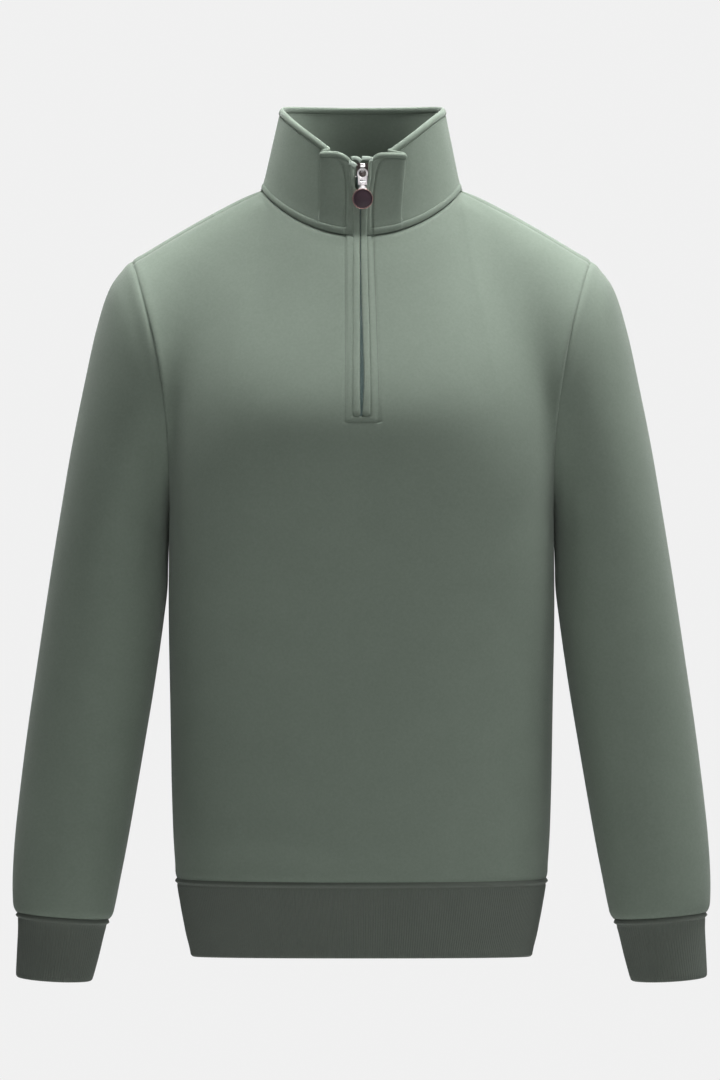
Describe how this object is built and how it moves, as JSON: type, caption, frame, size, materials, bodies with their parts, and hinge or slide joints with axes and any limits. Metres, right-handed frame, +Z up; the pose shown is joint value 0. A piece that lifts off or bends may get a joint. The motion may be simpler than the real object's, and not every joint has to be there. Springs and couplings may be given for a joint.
{
  "type": "quarter zip sweater",
  "caption": "Fine-knit stand-collar sweater with a short front zip, ribbed hem and cuffs, filled out as worn, with a metal slider, link and round pendant pull.",
  "frame": {"origin": "midway between the points where the two shoulder seams meet the neck, where the wearer's shoulders hold the sweater up", "axes": "+Z up along the wearer's back, -Y the front with the zip, +X the wearer's left"},
  "size_m": [0.6452, 0.2726, 0.8155],
  "materials": {
    "knit": "smooth fine-gauge knit, matt, faintly mottled sage green",
    "rib": "fine vertical rib knit, matt, sage green",
    "zip_tape": "woven zip tape, pale green",
    "zip_teeth": "fine moulded teeth, teal grey",
    "steel": "polished bright metal",
    "enamel": "dark plum face, plain"
  },
  "bodies": {
    "garment": {"front_panel": "knit", "back_panel": "knit", "sleeve_left": "knit", "sleeve_right": "knit", "collar": "knit", "collar_edge": "knit", "neck_band": "knit", "zip_welt_left": "knit", "zip_welt_right": "knit", "hem_rib": "rib", "cuff_left": "rib", "cuff_right": "rib", "zip_tape_left": "zip_tape", "zip_tape_right": "zip_tape", "zip_chain": "zip_teeth", "slider": "steel"},
    "link": {"pull_link": "steel"},
    "pendant": {"pull_disc": "steel", "disc_face": "enamel"}
  },
  "joints": [
    {"name": "link_hinge", "type": "hinge", "parent": "garment", "child": "link", "pos_m": [0.001, -0.07062, 0.01512], "axis": [-1, 0, 0], "range_deg": [0, 150]},
    {"name": "pendant_hinge", "type": "hinge", "parent": "link", "child": "pendant", "pos_m": [0.001, -0.07243, 0.00174], "axis": [-1, 0, 0], "range_deg": [0, 90]}
  ]
}
